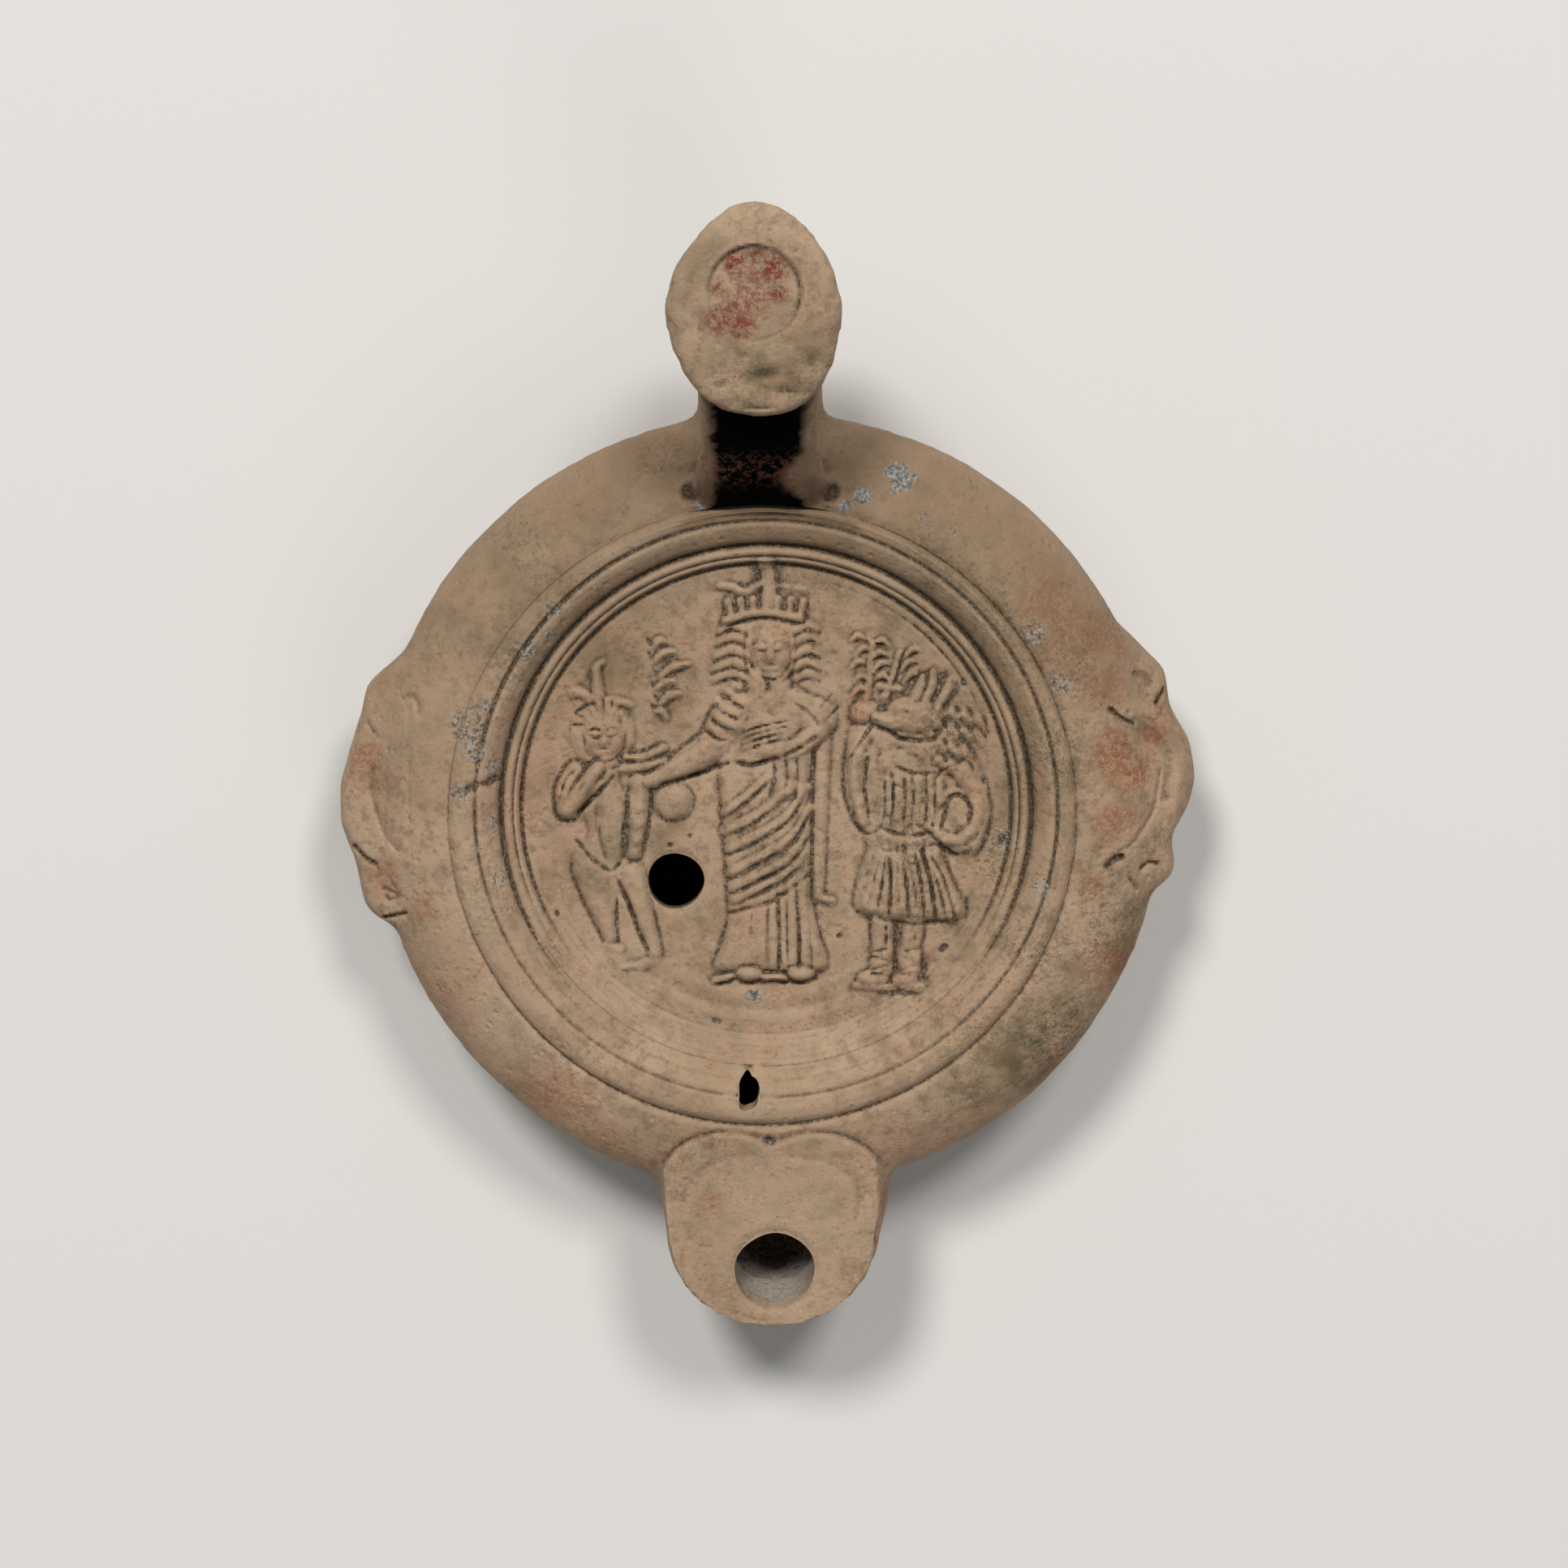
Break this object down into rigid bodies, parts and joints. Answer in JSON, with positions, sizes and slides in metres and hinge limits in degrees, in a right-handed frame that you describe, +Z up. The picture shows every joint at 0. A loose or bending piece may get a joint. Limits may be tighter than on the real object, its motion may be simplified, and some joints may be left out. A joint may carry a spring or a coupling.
{
  "type": "roman oil lamp",
  "caption": "Mould-made clay oil lamp: round hollow body, sunk relief disc, heart-shaped nozzle, bow lugs and a ring handle under an oval thumb plate.",
  "frame": {"origin": "centre of the flat underside, under the middle of the round body", "axes": "+Z up, nozzle towards -Y, handle towards +Y, +X to the right of the picture field"},
  "size_m": [0.1157, 0.1533, 0.0483],
  "materials": {
    "fired_clay": "matt buff fired clay with worn red slip, lime deposit and soot"
  },
  "bodies": {
    "root": {"lamp_body": "fired_clay"}
  },
  "joints": []
}
